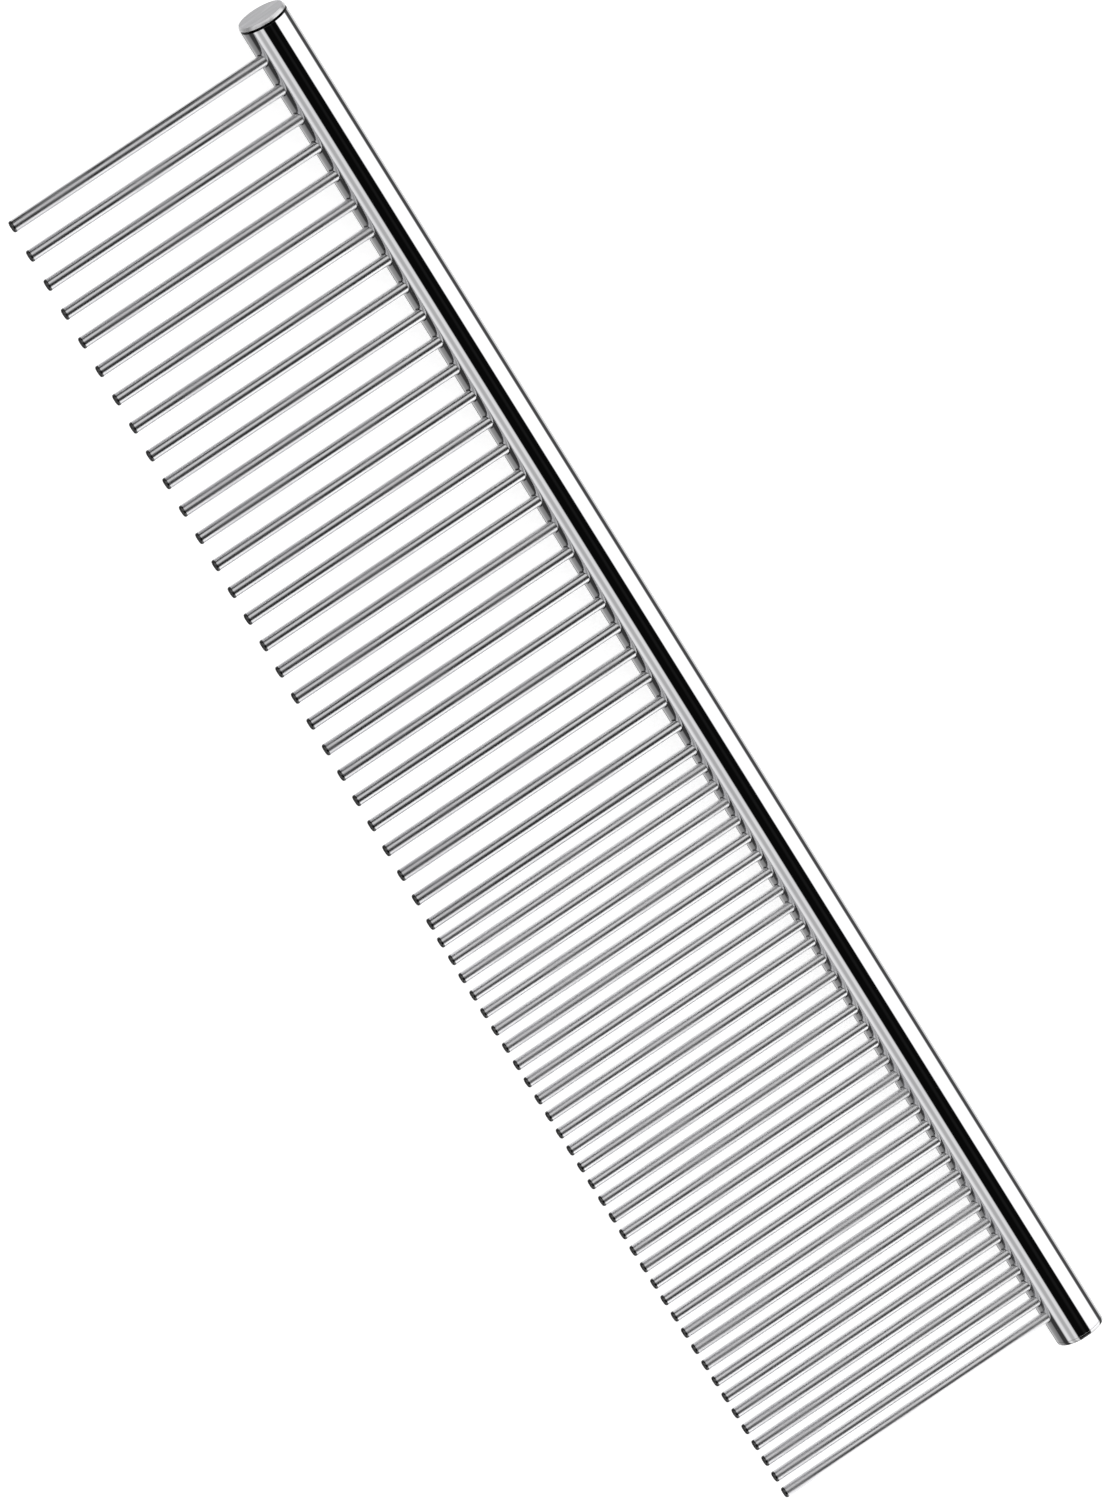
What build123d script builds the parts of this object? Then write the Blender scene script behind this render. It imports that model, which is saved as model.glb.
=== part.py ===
from build123d import *
from math import sqrt
import os

# A steel grooming comb. A polished oval tube is the spine. A core bar inside it grips 27 coarse pins
# and 34 fine pins, which leave the tube through drilled holes, and a pressed-in cap closes each end.
# Millimetres. X runs along the spine from the coarse end, the pins point to -Y, and +Z is the top.
# The origin is the middle of the coarse end's flat face.

# Spine
SPINE_LENGTH = 190.0  # over both end caps
SPINE_WIDTH = 6.2  # along Y, the way the pins point
SPINE_DEPTH = 7.6  # along Z
TUBE_WALL = 0.8

# End caps
FLANGE_THICKNESS = 0.45
FLANGE_EDGE_RADIUS = 0.25  # round rim of the outer face
FLANGE_BACK_RADIUS = 0.1
SEAM_WIDTH = 0.3  # open line between the coarse end's flange and the tube; the other cap is pressed home
PLUG_DEPTH = 2.2  # how far a cap reaches into the tube
BAR_END_GAP = 0.1  # between a cap's plug and the core bar

# Pins
COARSE_COUNT = 27
COARSE_DIAMETER = 1.55
COARSE_PITCH_FIRST = 4.12  # the spacing closes up evenly along the row
COARSE_PITCH_LAST = 3.47
FINE_COUNT = 34
FINE_DIAMETER = 1.4
FINE_PITCH_FIRST = 2.56  # also the gap between the last coarse pin and the first fine one
FINE_PITCH_LAST = 2.3
FIRST_PIN_MARGIN = 4.5  # coarse face to the axis of pin 1
PIN_ROW_HEIGHT = 1.4  # the row sits above the middle of the section
PIN_REACH = 37.75  # length outside the tube of a full-length pin
FIRST_PIN_SHORTFALL = 2.25  # pin 1 is this much shorter
SHORTFALL_RUN = 110.0  # along the spine, over which the row tapers out to full length
PIN_INNER_END = 1.0  # Y of the buried ends
TIP_EDGE_RADIUS = 0.25
PINS_PER_FINE_NODE = 2

# Worked out
HALF_WIDTH = SPINE_WIDTH / 2
HALF_DEPTH = SPINE_DEPTH / 2
BORE_HALF_WIDTH = HALF_WIDTH - TUBE_WALL
BORE_HALF_DEPTH = HALF_DEPTH - TUBE_WALL
TUBE_START = FLANGE_THICKNESS + SEAM_WIDTH
TUBE_END = SPINE_LENGTH - FLANGE_THICKNESS
BAR_START = TUBE_START + PLUG_DEPTH + BAR_END_GAP
BAR_END = TUBE_END - PLUG_DEPTH - BAR_END_GAP
PIN_EXIT = -HALF_WIDTH * sqrt(1 - (PIN_ROW_HEIGHT / HALF_DEPTH) ** 2)  # Y where the pins leave the tube


def oval_bar(start, end, half_width, half_depth):
    """A solid oval bar along X, centred on the spine's axis."""
    section = Plane.YZ.offset(start) * Ellipse(half_width, half_depth)
    return extrude(section, amount=end - start)


def evenly_closing(first, last, count):
    """Spacings that go from first to last in equal steps."""
    step = (last - first) / (count - 1)
    return [first + step * index for index in range(count)]


def pin_stations():
    """X of every pin's axis, coarse ones first."""
    stations = [FIRST_PIN_MARGIN]
    coarse_gaps = evenly_closing(COARSE_PITCH_FIRST, COARSE_PITCH_LAST, COARSE_COUNT - 1)
    fine_gaps = evenly_closing(FINE_PITCH_FIRST, FINE_PITCH_LAST, FINE_COUNT)
    for gap in coarse_gaps + fine_gaps:
        stations.append(stations[-1] + gap)
    return stations


def pin_tip(station):
    """Y of a pin's tip: the first pins are a little short, tapering out to the full length."""
    progress = min(1.0, (station - FIRST_PIN_MARGIN) / SHORTFALL_RUN)
    return PIN_EXIT - PIN_REACH + FIRST_PIN_SHORTFALL * (1 - progress)


def make_pin(station, diameter):
    """A round pin from its buried end to a flat tip with a softened edge."""
    length = PIN_INNER_END - pin_tip(station)
    shaft = Cylinder(diameter / 2, length, align=(Align.CENTER, Align.CENTER, Align.MIN))
    shaft = fillet(shaft.edges().group_by(Axis.Z)[-1], TIP_EDGE_RADIUS)
    return Location((station, PIN_INNER_END, PIN_ROW_HEIGHT), (90, 0, 0)) * shaft


def make_end_cap(plug_end):
    """A cap at X = 0: a flange with a round rim, and the plug that holds it in the tube."""
    flange = oval_bar(0, FLANGE_THICKNESS, HALF_WIDTH, HALF_DEPTH)
    flange = fillet(flange.edges().sort_by(Axis.X)[0], FLANGE_EDGE_RADIUS)
    flange = fillet(flange.edges().sort_by(Axis.X)[-1], FLANGE_BACK_RADIUS)
    return flange + oval_bar(FLANGE_THICKNESS, plug_end, BORE_HALF_WIDTH, BORE_HALF_DEPTH)


def make_spine_tube(pins):
    """The oval tube, drilled right where each pin leaves it."""
    tube = oval_bar(TUBE_START, TUBE_END, HALF_WIDTH, HALF_DEPTH)
    tube -= oval_bar(TUBE_START, TUBE_END, BORE_HALF_WIDTH, BORE_HALF_DEPTH)
    return tube - pins


def make_core_bar(pins):
    """The bar that fills the tube between the caps, with a blind hole that grips each pin."""
    return oval_bar(BAR_START, BAR_END, BORE_HALF_WIDTH, BORE_HALF_DEPTH) - pins


def write_part(name, shape):
    export_step(shape, f"parts/{name}.step")


os.makedirs("parts", exist_ok=True)

stations = pin_stations()
coarse_pins = [make_pin(x, COARSE_DIAMETER) for x in stations[:COARSE_COUNT]]
fine_pins = [make_pin(x, FINE_DIAMETER) for x in stations[COARSE_COUNT:]]
all_pins = coarse_pins + fine_pins
coarse_cap = make_end_cap(TUBE_START + PLUG_DEPTH)
fine_cap = mirror(make_end_cap(FLANGE_THICKNESS + PLUG_DEPTH), Plane.YZ.offset(SPINE_LENGTH / 2))

write_part("spine_tube", make_spine_tube(all_pins))
write_part("core_bar", make_core_bar(all_pins))
write_part("end_cap_coarse", coarse_cap)
write_part("end_cap_fine", fine_cap)
for index, pin in enumerate(coarse_pins):
    write_part(f"coarse_tooth_{index + 1:02d}", pin)
for start in range(0, FINE_COUNT, PINS_PER_FINE_NODE):
    end = start + PINS_PER_FINE_NODE
    write_part(f"fine_teeth_{start + 1:02d}_{end:02d}", Compound(fine_pins[start:end]))
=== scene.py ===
from math import cos, hypot, pi, radians, sin, sqrt

import bmesh
import bpy
import numpy as np
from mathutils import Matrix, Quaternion, Vector


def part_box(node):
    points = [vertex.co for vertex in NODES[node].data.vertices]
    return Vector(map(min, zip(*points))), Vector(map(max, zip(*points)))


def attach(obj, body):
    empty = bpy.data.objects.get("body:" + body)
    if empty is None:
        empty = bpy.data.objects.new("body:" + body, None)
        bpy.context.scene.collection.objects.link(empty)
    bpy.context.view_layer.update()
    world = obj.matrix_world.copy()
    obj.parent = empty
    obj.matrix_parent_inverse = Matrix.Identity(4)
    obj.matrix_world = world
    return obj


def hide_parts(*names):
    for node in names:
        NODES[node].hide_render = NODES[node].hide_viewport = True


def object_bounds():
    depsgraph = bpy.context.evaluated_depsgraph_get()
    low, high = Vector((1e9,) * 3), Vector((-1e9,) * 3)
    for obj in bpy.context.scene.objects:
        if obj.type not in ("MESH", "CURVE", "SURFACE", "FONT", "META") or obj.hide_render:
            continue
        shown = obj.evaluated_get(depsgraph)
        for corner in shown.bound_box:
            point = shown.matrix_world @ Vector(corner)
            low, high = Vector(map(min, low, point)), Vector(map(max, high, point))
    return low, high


# The looks of a steel grooming comb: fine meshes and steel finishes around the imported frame, on a pale
# floor in a white studio. Metres, in the frame's own axes: X along the spine, pins to -Y, +Z up.

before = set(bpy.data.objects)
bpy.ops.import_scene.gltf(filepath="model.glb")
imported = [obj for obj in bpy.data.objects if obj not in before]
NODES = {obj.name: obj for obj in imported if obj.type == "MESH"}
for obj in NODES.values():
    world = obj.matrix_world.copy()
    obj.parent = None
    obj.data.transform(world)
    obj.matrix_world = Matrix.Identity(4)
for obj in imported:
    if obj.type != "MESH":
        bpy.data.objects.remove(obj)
cad_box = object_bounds()
MM = 0.001
BODY = "root"

# Sizes inside a node's box that the frame doesn't state
TUBE_WALL = 0.8 * MM
TUBE_EDGE_RADIUS = 0.03 * MM
FLANGE_FRONT_RADIUS = 0.06 * MM
FLANGE_BACK_RADIUS = 0.03 * MM
RIM_TAPER = 0.15 * MM  # how much smaller the coarse end's flange is at its face than at its back
TIP_EDGE_RADIUS = 0.25 * MM
SHADE_PAINTED_TIP_LENGTH = 0.38 * MM  # length of a pin's end whose steel is painted near-black as shade
HOLE_CHAMFER = 0.1 * MM
HOLE_CLEARANCE = 0.012 * MM
DRILL_OVERSHOOT = 0.05 * MM  # how far the drill starts outside the tube
DRILL_DEPTH = 1.5 * TUBE_WALL

# Fineness of the meshes
OVAL_POINTS = 192
PIN_POINTS = 64
ARC_STEPS = 8
FRONT_STEPS = 7  # points of the flange's front arc, which stops where it meets the tapered side
CAP_FACE_RING = 0.06 * MM  # width of the ring of faces round a flat cap face, which keeps its shading flat
TIP_FACE_RING = 0.04 * MM  # the same on a pin's tip
SHARP_ANGLE = radians(35)
PIN_SHARP_ANGLE = radians(50)

# Measuring
SAME_PLACE = 0.01 * MM
PAIR_WIDTH = 1.5  # end faces that reach this many times further along X than along Z belong to two pins
ON_OVAL = 1e-4  # how far from 1 the oval's own formula may be for a point on it
OVAL_NORMAL_SPREAD = radians(6)  # between a facet of the oval and the true surface


# ---------------------------------------------------------------- measuring the frame


def fit_circle(first, second):
    """Centre and radius of the circle through points given by two coordinate arrays."""
    rows = np.column_stack([2 * first, 2 * second, np.ones(len(first))])
    answer = np.linalg.lstsq(rows, first**2 + second**2, rcond=None)[0]
    return answer[0], answer[1], sqrt(answer[2] + answer[0] ** 2 + answer[1] ** 2)


def pins_in(node):
    """The pins of a CAD node, each a dict of its axis, its radius and where it starts and ends."""
    points = np.array([vertex.co for vertex in NODES[node].data.vertices])
    buried_end = points[:, 1].max()
    end_face = points[points[:, 1] > buried_end - SAME_PLACE]
    width, depth = np.ptp(end_face[:, 0]), np.ptp(end_face[:, 2])
    middle = (end_face[:, 0].min() + end_face[:, 0].max()) / 2
    rings = [end_face]
    if width > PAIR_WIDTH * depth:
        rings = [end_face[end_face[:, 0] < middle], end_face[end_face[:, 0] > middle]]
    pins = []
    for ring in rings:
        x, z, radius = fit_circle(ring[:, 0], ring[:, 2])
        pins.append({"x": x, "z": z, "radius": radius, "start": buried_end, "tip": points[:, 1].min()})
    return pins


tube_low, tube_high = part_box("spine_tube")
HALF_WIDTH = (tube_high.y - tube_low.y) / 2
HALF_DEPTH = (tube_high.z - tube_low.z) / 2
FLANGE_THICKNESS = cad_box[1].x - tube_high.x  # the fine end's cap sits tight on the tube
COARSE_NODES = sorted(name for name in NODES if name.startswith("coarse_tooth"))
FINE_NODES = sorted(name for name in NODES if name.startswith("fine_teeth"))
PINS = {name: pins_in(name) for name in COARSE_NODES + FINE_NODES}


# ---------------------------------------------------------------- mesh helpers


def add_piece(name, mesh, body_slot, *nodes):
    """A finished piece that rides on the comb's one body and stands for its CAD nodes."""
    piece = bpy.data.objects.new(name, mesh)
    bpy.context.scene.collection.objects.link(piece)
    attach(piece, BODY)
    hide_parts(*nodes)
    return piece


def shade_smooth(mesh, sharp_angle):
    """Smooth shading that keeps every edge sharper than the given angle."""
    mesh.shade_smooth()
    mesh.set_sharp_from_angle(angle=sharp_angle)


def round_turns(count):
    """Equal turns once round, in radians."""
    return [2 * pi * index / count for index in range(count)]


def join_rings(bm, rings, closed=False):
    """Adds quads between rings of equally many points.

    Closed joins the last ring to the first. Otherwise each end is capped with one face.
    """
    loops = [[bm.verts.new(point) for point in ring] for ring in rings]
    pairs = list(zip(loops, loops[1:]))
    if closed:
        pairs.append((loops[-1], loops[0]))
    else:
        bm.faces.new(loops[0])
        bm.faces.new(loops[-1])
    for near, far in pairs:
        for index in range(len(near)):
            after = (index + 1) % len(near)
            bm.faces.new((near[index], near[after], far[after], far[index]))


def finish_mesh(bm, name):
    """A mesh with outward normals from the bmesh, which is freed."""
    bmesh.ops.recalc_face_normals(bm, faces=bm.faces)
    mesh = bpy.data.meshes.new(name)
    bm.to_mesh(mesh)
    bm.free()
    return mesh


def oval_ring(x, inset):
    """Points round the spine's oval outline at x, moved straight in by inset."""
    ring = []
    for turn in round_turns(OVAL_POINTS):
        normal = Vector((0, cos(turn) / HALF_WIDTH, sin(turn) / HALF_DEPTH)).normalized()
        ring.append(Vector((x, HALF_WIDTH * cos(turn), HALF_DEPTH * sin(turn))) - normal * inset)
    return ring


def quarter_arc(end_x, radius, inward):
    """(x, inset) points of a rounded edge, from the end face at end_x to the side.

    inward is the way into the part along X, 1 or -1.
    """
    arc = []
    for step in range(ARC_STEPS + 1):
        turn = pi / 2 * step / ARC_STEPS
        arc.append((end_x + inward * radius * (1 - cos(turn)), radius * (1 - sin(turn))))
    return arc


# ---------------------------------------------------------------- spine tube


def hole_cutter(bm, pin):
    """A drill for one pin hole: it follows the oval surface, so the chamfer is even all the way round."""
    def ring(radius, depth):
        points = []
        for turn in round_turns(PIN_POINTS):
            z = pin["z"] + radius * sin(turn)
            surface = -HALF_WIDTH * sqrt(1 - (z / HALF_DEPTH) ** 2)
            points.append(Vector((pin["x"] + radius * cos(turn), surface + depth, z)))
        return points

    bore = pin["radius"] + HOLE_CLEARANCE
    mouth = bore + HOLE_CHAMFER
    join_rings(bm, [
        ring(mouth + DRILL_OVERSHOOT, -DRILL_OVERSHOOT),
        ring(bore, HOLE_CHAMFER),
        ring(bore, DRILL_DEPTH),
    ])


def spine_tube_mesh():
    """The drawn oval tube with softened ends, its bore, and a chamfered hole for every pin."""
    low, high = tube_low.x, tube_high.x
    profile = quarter_arc(low, TUBE_EDGE_RADIUS, 1)
    profile += reversed(quarter_arc(high, TUBE_EDGE_RADIUS, -1))
    profile += [(high, TUBE_WALL), (low, TUBE_WALL)]
    bm = bmesh.new()
    join_rings(bm, [oval_ring(x, inset) for x, inset in profile], closed=True)
    tube = bpy.data.objects.new("tube_blank", finish_mesh(bm, "spine_tube_shell"))
    bm = bmesh.new()
    for pins in PINS.values():
        for pin in pins:
            hole_cutter(bm, pin)
    drill = bpy.data.objects.new("tube_drill", finish_mesh(bm, "tube_drill"))
    for thing in (tube, drill):
        bpy.context.scene.collection.objects.link(thing)
    holes = tube.modifiers.new("holes", "BOOLEAN")
    holes.operation = "DIFFERENCE"
    holes.solver = "EXACT"
    holes.object = drill
    evaluated = tube.evaluated_get(bpy.context.evaluated_depsgraph_get())
    drilled = bpy.data.meshes.new_from_object(evaluated)
    for thing in (tube, drill):
        bpy.data.objects.remove(thing)
    finish_outer_surface(drilled)
    return drilled


def finish_outer_surface(mesh):
    """Gives the outside the exact normals of its oval, so that reflections run straight past the holes.

    Slot 0 is the polished outside and slot 1 the steel of the holes, the bore and the tube's ends, painted
    dark as shade.
    """
    shade_smooth(mesh, SHARP_ANGLE)
    normals = [Vector(corner.vector) for corner in mesh.corner_normals]
    for face in mesh.polygons:
        face.material_index = 1
        for corner in face.loop_indices:
            point = mesh.vertices[mesh.loops[corner].vertex_index].co
            exact = Vector((0, point.y / HALF_WIDTH**2, point.z / HALF_DEPTH**2)).normalized()
            on_oval = abs(hypot(point.y / HALF_WIDTH, point.z / HALF_DEPTH) - 1) < ON_OVAL
            if on_oval and face.normal.dot(exact) > cos(OVAL_NORMAL_SPREAD):
                normals[corner] = exact
                face.material_index = 0
    mesh.normals_split_custom_set(normals)


# ---------------------------------------------------------------- end caps


def end_cap_mesh(name, face_x, inward, taper):
    """A cap: flat face, softened edge, flange side, back edge, and the plug that reaches into the tube.

    The flange is smaller by taper at its face. Slot 0 is the finished flange, slot 1 the steel behind it,
    painted dark as shade in the joint.
    """
    low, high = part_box(name)
    plug_x = high.x if inward > 0 else low.x
    back_x = face_x + inward * FLANGE_THICKNESS
    front_arc = quarter_arc(face_x, FLANGE_FRONT_RADIUS, inward)[:FRONT_STEPS]
    profile = [(face_x, taper + FLANGE_FRONT_RADIUS + CAP_FACE_RING)]
    profile += [(x, taper + inset) for x, inset in front_arc]
    profile += reversed(quarter_arc(back_x, FLANGE_BACK_RADIUS, -inward))
    profile += [(back_x, TUBE_WALL), (plug_x, TUBE_WALL)]
    bm = bmesh.new()
    join_rings(bm, [oval_ring(x, inset) for x, inset in profile])
    mesh = finish_mesh(bm, name + "_shell")
    shade_smooth(mesh, SHARP_ANGLE)
    for face in mesh.polygons:
        past_flange = (face.center.x - back_x) * inward > -SAME_PLACE
        face.material_index = 1 if past_flange else 0
    return mesh


# ---------------------------------------------------------------- pins


def add_pin(bm, pin):
    """A round pin along Y, from its buried end to a flat tip with a softened edge."""
    x, z, radius, tip = pin["x"], pin["z"], pin["radius"], pin["tip"]
    profile = [(pin["start"], radius), (tip + SHADE_PAINTED_TIP_LENGTH, radius)]
    for step in range(ARC_STEPS + 1):
        turn = pi / 2 * step / ARC_STEPS
        from_tip = TIP_EDGE_RADIUS * (1 - sin(turn))
        inset = TIP_EDGE_RADIUS * (1 - cos(turn))
        profile.append((tip + from_tip, radius - inset))
    profile.append((tip, radius - TIP_EDGE_RADIUS - TIP_FACE_RING))
    rings = []
    turns = round_turns(PIN_POINTS)
    for y, reach in profile:
        rings.append([Vector((x + reach * cos(turn), y, z + reach * sin(turn))) for turn in turns])
    join_rings(bm, rings)


def pin_mesh(name, pins):
    """One mesh for a CAD node's pins: slot 0 is the shaft's steel, slot 1 the tip's, painted near-black as
    shade.
    """
    bm = bmesh.new()
    for pin in pins:
        add_pin(bm, pin)
    mesh = finish_mesh(bm, name + "_mesh")
    shade_smooth(mesh, PIN_SHARP_ANGLE)
    shade_painted_from = pins[0]["tip"] + SHADE_PAINTED_TIP_LENGTH
    for face in mesh.polygons:
        face.material_index = 1 if face.center.y < shade_painted_from else 0
    return mesh


# ---------------------------------------------------------------- material helpers


def add_node(tree, kind, inputs=None, **settings):
    """A shader node with its settings, and its inputs set to values or linked from sockets."""
    node = tree.nodes.new(kind)
    for key, value in settings.items():
        setattr(node, key, value)
    for key, value in (inputs or {}).items():
        set_input(tree, node.inputs[key], value)
    return node


def set_input(tree, socket, value):
    """Links a socket's value in, or sets a plain one."""
    if isinstance(value, bpy.types.NodeSocket):
        tree.links.new(value, socket)
    else:
        socket.default_value = value


def new_material(name):
    """An empty node material with its tree and output."""
    material = bpy.data.materials.new(name)
    material.use_nodes = True
    material.node_tree.nodes.clear()
    output = material.node_tree.nodes.new("ShaderNodeOutputMaterial")
    return material, material.node_tree, output


def math_node(tree, operation, *values):
    """The result of a math node on its values or sockets."""
    return add_node(tree, "ShaderNodeMath", dict(enumerate(values)), operation=operation).outputs[0]


def remap(tree, value, low, high, to_low, to_high):
    """A value moved evenly from one range to another, held at the ends."""
    return add_node(tree, "ShaderNodeMapRange", {
        "Value": value, "From Min": low, "From Max": high, "To Min": to_low, "To Max": to_high,
    }).outputs["Result"]


def rise(tree, value, start, full):
    """0 where a value is at start or before it, rising to 1 at full."""
    return remap(tree, value, start, full, 0.0, 1.0)


def mix_values(tree, factor, first, second):
    """Two numbers mixed by a factor."""
    node = add_node(tree, "ShaderNodeMix", {0: factor, 2: first, 3: second})
    return node.outputs[0]


def mix_colour(tree, factor, first, second):
    """Two colours mixed by a factor."""
    node = add_node(tree, "ShaderNodeMix", {0: factor}, data_type="RGBA")
    set_input(tree, node.inputs[6], first)
    set_input(tree, node.inputs[7], second)
    return node.outputs[2]


def grey(level, blue=0.0):
    """A neutral colour with a touch of blue."""
    return (level, level, level + blue, 1.0)


def noise(tree, scale, detail):
    """Noise over the comb's own coordinates. Scale is cells per metre along X, Y and Z."""
    coordinates = add_node(tree, "ShaderNodeTexCoord").outputs["Object"]
    placed = add_node(tree, "ShaderNodeMapping", {"Vector": coordinates, "Scale": scale}).outputs["Vector"]
    texture = add_node(tree, "ShaderNodeTexNoise", {"Vector": placed, "Scale": 1.0, "Detail": detail})
    return texture.outputs["Fac"]


NOISE_LOW, NOISE_HIGH = 0.3, 0.7  # nearly all of a noise's values lie between these


def spread(tree, pattern, to_low, to_high):
    """A noise pattern stretched over a range of values."""
    return remap(tree, pattern, NOISE_LOW, NOISE_HIGH, to_low, to_high)


def bump_from(tree, height, strength, distance):
    """Surface normals from a height pattern. Distance is how deep the pattern goes at full strength."""
    bump = add_node(tree, "ShaderNodeBump", {"Height": height, "Strength": strength, "Distance": distance})
    return bump.outputs["Normal"]


def finish_steel(tree, output, tone, metallic, roughness, normal):
    """Ends a material in a metal surface."""
    steel = add_node(tree, "ShaderNodeBsdfPrincipled", {
        "Base Color": tone, "Metallic": metallic, "Roughness": roughness, "Normal": normal,
    })
    tree.links.new(steel.outputs["BSDF"], output.inputs["Surface"])


# ---------------------------------------------------------------- steel

PATCH_SCALE = (120.0, 120.0, 120.0)  # hazy patches, about 8 mm across
PATCH_TONE_RANGE = (0.35, 0.65)  # patch values from the light tone to the dark one
PATCH_HAZE_RANGE = (0.45, 0.75)  # patch values from no haze to the most
RUBBED_POINTINESS = (0.52, 0.62)  # where an edge starts to look rubbed, and where it is fully so
RUBBED_TONE = grey(0.93)
POLISH_LINE_DEPTH = 0.002 * MM
GRAIN_SCALE = (9000.0, 9000.0, 9000.0)
GRAIN_STRENGTH = 0.2
GRAIN_DEPTH = 0.004 * MM
CAP_LINE_SCALE = (300.0, 170.0, 950.0)  # grinding lines across a cap's face, longer along Y than along Z
CAP_LINE_TONES = (grey(0.30, 0.015), grey(0.74, 0.015))
CAP_LINE_STRENGTH = 0.3
CAP_PATCH_SCALE = (500.0, 500.0, 500.0)  # about 2 mm across
CAP_PATCH_TONE = grey(0.5, 0.015)
CAP_ROUGHNESS = (0.32, 0.45)
FACE_SQUARENESS = (0.93, 0.985)  # how squarely a surface faces along X, from the rim's to the flat face's


def polished_steel(name, streaks, light, dark, smooth, dull, scratch):
    """Bright polished steel: polishing streaks one way, faint hazy patches, and lighter rubbed edges."""
    material, tree, output = new_material(name)
    streak = noise(tree, streaks, detail=4.0)
    patches = noise(tree, PATCH_SCALE, detail=2.0)
    edges = add_node(tree, "ShaderNodeNewGeometry").outputs["Pointiness"]
    rubbed = rise(tree, edges, *RUBBED_POINTINESS)
    tone = mix_colour(tree, rise(tree, patches, *PATCH_TONE_RANGE), light, dark)
    tone = mix_colour(tree, rubbed, tone, RUBBED_TONE)
    haze = remap(tree, patches, *PATCH_HAZE_RANGE, 0.0, dull / 2)
    roughness = math_node(tree, "ADD", spread(tree, streak, smooth, dull), haze)
    finish_steel(tree, output, tone, 1.0, roughness, bump_from(tree, streak, scratch, POLISH_LINE_DEPTH))
    return material


def shade_painted_steel(name, light, dark, smooth, dull):
    """Steel painted dark as shade, with a little grain: inside joints and holes, and on the pins' ends."""
    material, tree, output = new_material(name)
    grain = noise(tree, GRAIN_SCALE, detail=3.0)
    tone = mix_colour(tree, grain, dark, light)
    roughness = spread(tree, grain, smooth, dull)
    finish_steel(tree, output, tone, 1.0, roughness, bump_from(tree, grain, GRAIN_STRENGTH, GRAIN_DEPTH))
    return material


def satin_cap_steel(name, rim_tone, rim_roughness, rim_metallic):
    """A cap's steel: a satin face ground in fine straight lines, and a brighter rim and side. A near-white
    rim that is not fully metal shows a painted highlight under the lamp.
    """
    material, tree, output = new_material(name)
    lines = noise(tree, CAP_LINE_SCALE, detail=5.0)
    patches = noise(tree, CAP_PATCH_SCALE, detail=2.0)
    facing = add_node(tree, "ShaderNodeNewGeometry").outputs["True Normal"]
    along_spine = add_node(tree, "ShaderNodeSeparateXYZ", {0: facing}).outputs["X"]
    face = rise(tree, math_node(tree, "ABSOLUTE", along_spine), *FACE_SQUARENESS)
    ground = mix_colour(tree, spread(tree, lines, 0.0, 1.0), *CAP_LINE_TONES)
    face_tone = mix_colour(tree, patches, ground, CAP_PATCH_TONE)
    tone = mix_colour(tree, face, grey(rim_tone, 0.01), face_tone)
    roughness = mix_values(tree, face, rim_roughness, spread(tree, lines, *CAP_ROUGHNESS))
    metallic = remap(tree, face, 0.0, 1.0, rim_metallic, 1.0)
    line_strength = remap(tree, face, 0.0, 1.0, 0.0, CAP_LINE_STRENGTH)
    normal = bump_from(tree, lines, line_strength, GRAIN_DEPTH)
    finish_steel(tree, output, tone, metallic, roughness, normal)
    return material


# Streaks are cells per metre along X, Y and Z: few along the way of polishing, many across it
SPINE_STEEL = polished_steel(
    "spine_steel_look", streaks=(60.0, 9000.0, 9000.0), light=grey(0.88, 0.015), dark=grey(0.84, 0.02),
    smooth=0.02, dull=0.045, scratch=0.06,
)
COARSE_STEEL = polished_steel(
    "coarse_pin_look", streaks=(9000.0, 90.0, 9000.0), light=grey(0.72, 0.015), dark=grey(0.68, 0.02),
    smooth=0.20, dull=0.27, scratch=0.08,
)
FINE_STEEL = polished_steel(
    "fine_pin_look", streaks=(9000.0, 90.0, 9000.0), light=grey(0.86, 0.015), dark=grey(0.82, 0.02),
    smooth=0.25, dull=0.33, scratch=0.08,
)
CORE_STEEL = polished_steel(
    "core_bar_look", streaks=(30.0, 5000.0, 5000.0), light=grey(0.50, 0.01), dark=grey(0.42, 0.01),
    smooth=0.35, dull=0.5, scratch=0.3,
)
# Painted shade: near-black steel for the pins' ends
TIP_STEEL = shade_painted_steel("painted_shade_tip_look", light=grey(0.14), dark=grey(0.08), smooth=0.1, dull=0.18)
# Painted shade: near-black steel for the holes, the bore, the tube's ends and the caps' plugs
JOINT_SHADE_STEEL = shade_painted_steel("joint_shade_paint_look", light=grey(0.08), dark=grey(0.04), smooth=0.25, dull=0.4)
# Painted highlight: the coarse end's rim is near-white and partly matt, so the lamp lights it brightly
COARSE_CAP_STEEL = satin_cap_steel("coarse_cap_look", rim_tone=0.98, rim_roughness=0.3, rim_metallic=0.7)
# The fine end's rim is polished together with the tube
FINE_CAP_STEEL = satin_cap_steel("fine_cap_look", rim_tone=0.86, rim_roughness=0.04, rim_metallic=1.0)


# ---------------------------------------------------------------- build the comb

spine = spine_tube_mesh()
spine.materials.append(SPINE_STEEL)
spine.materials.append(JOINT_SHADE_STEEL)
add_piece("spine_tube_shell", spine, "spine_steel", "spine_tube")

for cap_name, face_x, inward, taper, steel in (
    ("end_cap_coarse", cad_box[0].x, 1, RIM_TAPER, COARSE_CAP_STEEL),
    ("end_cap_fine", cad_box[1].x, -1, 0.0, FINE_CAP_STEEL),
):
    cap = end_cap_mesh(cap_name, face_x, inward, taper)
    cap.materials.append(steel)
    cap.materials.append(JOINT_SHADE_STEEL)
    add_piece(cap_name + "_shell", cap, "cap_steel", cap_name)

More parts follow.
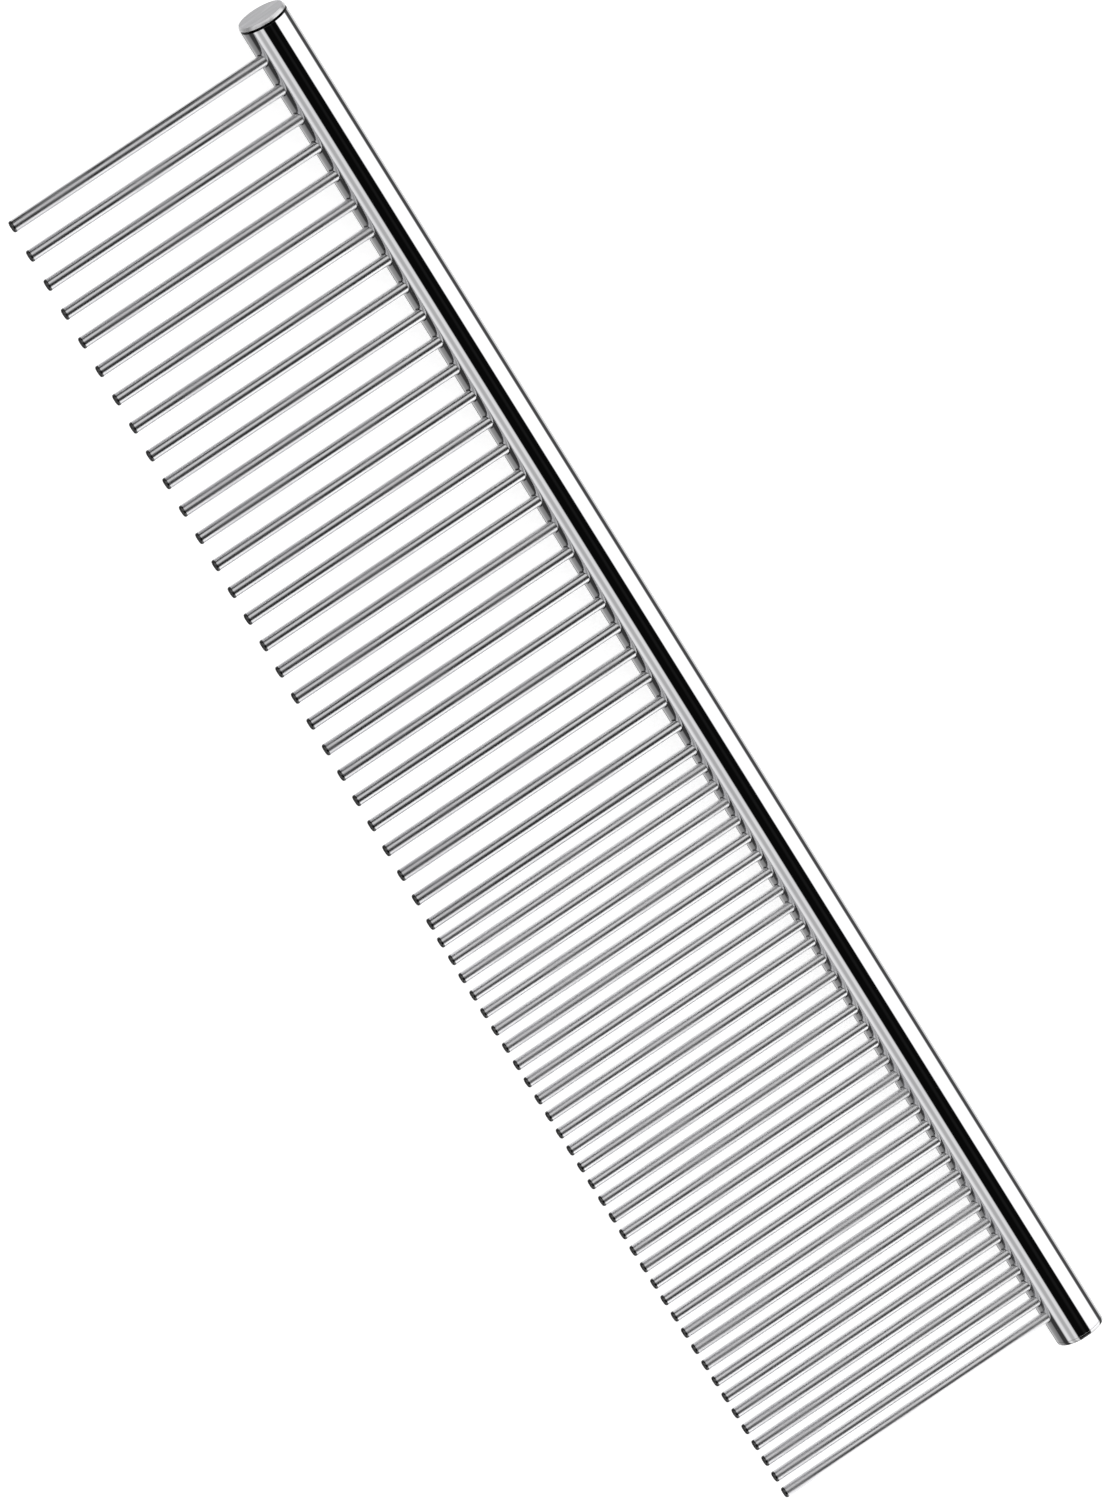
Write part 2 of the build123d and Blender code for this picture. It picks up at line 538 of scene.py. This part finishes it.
for nodes, steel, slot in (
    (COARSE_NODES, COARSE_STEEL, "coarse_pin_steel"),
    (FINE_NODES, FINE_STEEL, "fine_pin_steel"),
):
    for node in nodes:
        mesh = pin_mesh(node, PINS[node])
        mesh.materials.append(steel)
        mesh.materials.append(TIP_STEEL)
        add_piece(node + "_steel", mesh, slot, node)

core = NODES["core_bar"]
core.data.materials.clear()
core.data.materials.append(CORE_STEEL)


# ---------------------------------------------------------------- studio tent

# What polished steel mirrors, as (degrees, brightness) going round the comb. 0 is straight up.
# Round the spine's axis, positive angles lie towards the back of the comb, negative ones towards the pins.
ROUND_THE_SPINE = (
    (-180, 0.80), (-158, 0.55), (-142, 0.29), (-125, 0.23),  # under the pins
    (-118, 0.04), (-99, 0.04),  # dark line below the horizon
    (-92, 0.86), (-83, 0.88), (-72, 0.48), (-62, 0.48),  # white wall with one grey strip
    (-54, 0.82), (-43, 0.76),
    (-38, 0.003), (33, 0.003),  # the dark ceiling round the camera
    (37, 1.2), (106, 1.2),  # big white reflector behind the comb
    (112, 0.07), (133, 0.07), (142, 0.8), (180, 0.8),  # shade along the back's foot
)
# Round the pins' axes, positive angles lie towards the fine end.
ROUND_THE_PINS = (
    (-180, 1.0), (-127, 1.0),  # pale floor cloth
    (-117, 0.006), (-61, 0.006),  # dark wall at the coarse end
    (-51, 0.80), (-24, 0.84),  # white strip over it
    (-5, 0.01), (40, 0.01),  # ceiling
    (46, 1.3), (180, 1.3),  # white wall at the fine end, down to the floor
)

# Places in the tent, as the x, y or z of a direction of length 1. In a pair, the first value is where
# something starts and the second is where it is full.
STRIP_X = 0.267  # middle of the strip that the spine mirrors for the camera
STRIP_Y = 0.111  # middle of the strip that the pins mirror
STRIP_FADE = (0.1, 0.4)  # distance from a strip's middle
OFF_STRIP_BRIGHTNESS = 0.6
END_WALL_SHARE = (0.6, 0.9)  # the part along X of a direction's level part, squared
END_WALL_HALF_WIDTHS = (0.1, 0.35)  # narrow at the coarse end, wide at the fine end
END_WALL_CHANGE = (0.3, 0.6)  # x from the narrow wall to the wide one
END_WALL_FADE = 0.15
HAZE_HEIGHT = (0.5, 0.8)
HAZE_BRIGHTNESS = 0.1
PANEL_X = (-0.25, -0.4)
PANEL_FADE = (0.15, 0.3)  # distance from STRIP_Y
PANEL_HEIGHT = (-0.1, 0.1)
PANEL_BRIGHTNESS = 1.1
GAP_DIRECTION = (0.267, -0.111, -0.957)
GAP_FADE = (0.08, 0.13)  # distance from the gap's direction
GAP_BRIGHTNESS = 0.02
JUST_OVER_ONE = 1.0001  # keeps a division off zero straight up and down


def brightness_round(tree, sideways, up, bands):
    """Brightness from bands, for the angle that a direction makes with straight up."""
    turn = math_node(tree, "ARCTAN2", sideways, up)
    ramp = add_node(tree, "ShaderNodeValToRGB", {"Fac": rise(tree, turn, -pi, pi)})
    stops = ramp.color_ramp.elements
    stops[0].position = 0.0
    stops[1].position = 1.0
    stops[0].color = grey(bands[0][1])
    stops[1].color = grey(bands[-1][1])
    for degrees, level in bands[1:-1]:
        stops.new((degrees + 180) / 360).color = grey(level)
    return ramp.outputs["Color"]


def distance_from(tree, value, middle):
    """How far a value is from a middle one."""
    return math_node(tree, "ABSOLUTE", math_node(tree, "SUBTRACT", value, middle))


def walls_and_ceiling(tree, x, y, z):
    """The tent round the spine, with the end walls taking over where a direction is mostly along X."""
    round_spine = brightness_round(tree, y, z, ROUND_THE_SPINE)
    round_pins = brightness_round(tree, x, z, ROUND_THE_PINS)
    level_squared = math_node(tree, "SUBTRACT", JUST_OVER_ONE, math_node(tree, "POWER", z, 2.0))
    share = math_node(tree, "DIVIDE", math_node(tree, "POWER", x, 2.0), level_squared)
    half_width = remap(tree, x, *END_WALL_CHANGE, *END_WALL_HALF_WIDTHS)
    past_edge = math_node(tree, "SUBTRACT", distance_from(tree, y, STRIP_Y), half_width)
    inside = remap(tree, past_edge, 0.0, END_WALL_FADE, 1.0, 0.0)
    end_wall = math_node(tree, "MULTIPLY", rise(tree, share, *END_WALL_SHARE), inside)
    return mix_colour(tree, end_wall, round_spine, round_pins)


def add_haze(tree, tent, x, z):
    """Lightens the ceiling away from its darkest strip."""
    off_strip = rise(tree, distance_from(tree, x, STRIP_X), *STRIP_FADE)
    haze = math_node(tree, "MULTIPLY", off_strip, remap(tree, z, *HAZE_HEIGHT, 0.0, HAZE_BRIGHTNESS))
    haze = add_node(tree, "ShaderNodeCombineXYZ", {0: haze, 1: haze, 2: haze}).outputs[0]
    return add_node(tree, "ShaderNodeVectorMath", {0: tent, 1: haze}, operation="ADD").outputs[0]


def add_panel(tree, tent, x, y, z):
    """Hangs a white panel over the coarse end, on both sides of the strip that the pins mirror."""
    beside_strip = rise(tree, distance_from(tree, y, STRIP_Y), *PANEL_FADE)
    above_floor = rise(tree, z, *PANEL_HEIGHT)
    panel = math_node(tree, "MULTIPLY", beside_strip, above_floor)
    panel = math_node(tree, "MULTIPLY", rise(tree, x, *PANEL_X), panel)
    return mix_colour(tree, panel, tent, grey(PANEL_BRIGHTNESS))


def tent_strength(tree, direction, x, y):
    """The tent's strength: less off two crossing strips, for contrast from every side.

    A dark gap below is what the cut ends of the pins mirror for the camera.
    """
    off_x = rise(tree, distance_from(tree, x, STRIP_X), *STRIP_FADE)
    off_y = rise(tree, distance_from(tree, y, STRIP_Y), *STRIP_FADE)
    off_strips = math_node(tree, "MULTIPLY", off_x, off_y)
    strength = remap(tree, off_strips, 0.0, 1.0, 1.0, OFF_STRIP_BRIGHTNESS)
    from_gap = add_node(tree, "ShaderNodeVectorMath", {0: direction, 1: GAP_DIRECTION}, operation="DISTANCE")
    gap = remap(tree, from_gap.outputs["Value"], *GAP_FADE, GAP_BRIGHTNESS, 1.0)
    return math_node(tree, "MULTIPLY", strength, gap)


def build_studio_tent():
    """A white tent with a dark ceiling, which lights the scene and shows in the steel.

    The camera itself sees plain white instead.
    """
    world = bpy.data.worlds.new("studio")
    bpy.context.scene.world = world
    world.use_nodes = True
    tree = world.node_tree
    tree.nodes.clear()
    direction = add_node(tree, "ShaderNodeTexCoord").outputs["Generated"]
    x, y, z = add_node(tree, "ShaderNodeSeparateXYZ", {0: direction}).outputs
    tent = walls_and_ceiling(tree, x, y, z)
    tent = add_haze(tree, tent, x, z)
    tent = add_panel(tree, tent, x, y, z)
    strength = tent_strength(tree, direction, x, y)
    is_camera = add_node(tree, "ShaderNodeLightPath").outputs["Is Camera Ray"]
    background = add_node(tree, "ShaderNodeBackground", {
        "Color": mix_colour(tree, is_camera, tent, grey(1.0)),
        "Strength": mix_values(tree, is_camera, strength, 1.0),
    })
    output = tree.nodes.new("ShaderNodeOutputWorld")
    tree.links.new(background.outputs["Background"], output.inputs["Surface"])


# ---------------------------------------------------------------- floor and lamp

FLOOR_GAP = 0.02 * MM
FLOOR_HALF_SIZE = 3.0
FLOOR_PAINT = (grey(0.70), grey(0.74))
FLOOR_GRAIN_SCALE = (40.0, 40.0, 40.0)
FLOOR_GLOW = 0.79
LAMP_SIZE = (1.2, 0.8)
LAMP_WATTS = 4.0
LAMP_PLACE = Vector((0.3, 0.5, 1.1))


def build_floor():
    """A pale matt floor under the comb, with a faint soft shadow. The steel mirrors the tent instead."""
    height = cad_box[0].z - FLOOR_GAP
    low, high = -FLOOR_HALF_SIZE, FLOOR_HALF_SIZE
    corners = [(low, low, height), (high, low, height), (high, high, height), (low, high, height)]
    mesh = bpy.data.meshes.new("floor")
    mesh.from_pydata(corners, [], [(0, 1, 2, 3)])
    floor = bpy.data.objects.new("floor", mesh)
    bpy.context.scene.collection.objects.link(floor)
    material, tree, output = new_material("pale_floor")
    grain = noise(tree, FLOOR_GRAIN_SCALE, detail=3.0)
    paint = add_node(tree, "ShaderNodeBsdfDiffuse", {"Color": mix_colour(tree, grain, *FLOOR_PAINT)})
    glow = add_node(tree, "ShaderNodeEmission", {"Color": grey(1.0), "Strength": FLOOR_GLOW})
    both = add_node(tree, "ShaderNodeAddShader", {0: paint.outputs[0], 1: glow.outputs[0]})
    tree.links.new(both.outputs[0], output.inputs["Surface"])
    mesh.materials.append(material)
    floor.visible_glossy = False


def build_soft_light():
    """One large soft lamp over the comb, kept out of the steel's reflections."""
    lamp = bpy.data.lights.new("soft_lamp", "AREA")
    lamp.shape = "RECTANGLE"
    lamp.size, lamp.size_y = LAMP_SIZE
    lamp.energy = LAMP_WATTS
    light = bpy.data.objects.new("soft_lamp", lamp)
    light.location = LAMP_PLACE
    light.rotation_mode = "QUATERNION"
    light.rotation_quaternion = LAMP_PLACE.to_track_quat("Z", "Y")
    light.visible_glossy = False
    light.visible_camera = False
    bpy.context.scene.collection.objects.link(light)


# ---------------------------------------------------------------- camera

VIEW_AZIMUTH = radians(-67.5)
VIEW_ELEVATION = radians(73.2)
VIEW_ROLL = radians(124.6)
VIEW_DISTANCE = 2.995
VIEW_OFFSET = Vector((-0.72, 2.26, 0)) * MM  # of the point the camera looks at, from the middle of the comb
LENS = 609.0
SENSOR = 36.0
FAR_CLIP = 20.0


def build_camera():
    """A long lens from above the coarse end, rolled so that the spine runs down the picture to the right."""
    low, high = cad_box
    aim = (low + high) / 2 + VIEW_OFFSET
    level = cos(VIEW_ELEVATION)
    back = Vector((sin(VIEW_AZIMUTH) * level, -cos(VIEW_AZIMUTH) * level, sin(VIEW_ELEVATION)))
    data = bpy.data.cameras.new("camera")
    data.lens = LENS
    data.sensor_width = SENSOR
    data.clip_end = FAR_CLIP
    camera = bpy.data.objects.new("camera", data)
    camera.location = aim + back * VIEW_DISTANCE
    camera.rotation_mode = "QUATERNION"
    camera.rotation_quaternion = (-back).to_track_quat("-Z", "Y") @ Quaternion((0, 0, 1), VIEW_ROLL)
    bpy.context.scene.collection.objects.link(camera)
    bpy.context.scene.camera = camera


build_studio_tent()
build_floor()
build_soft_light()
build_camera()
bpy.context.scene.view_settings.view_transform = "Standard"
bpy.context.scene.cycles.max_bounces = 12
bpy.context.scene.cycles.glossy_bounces = 8
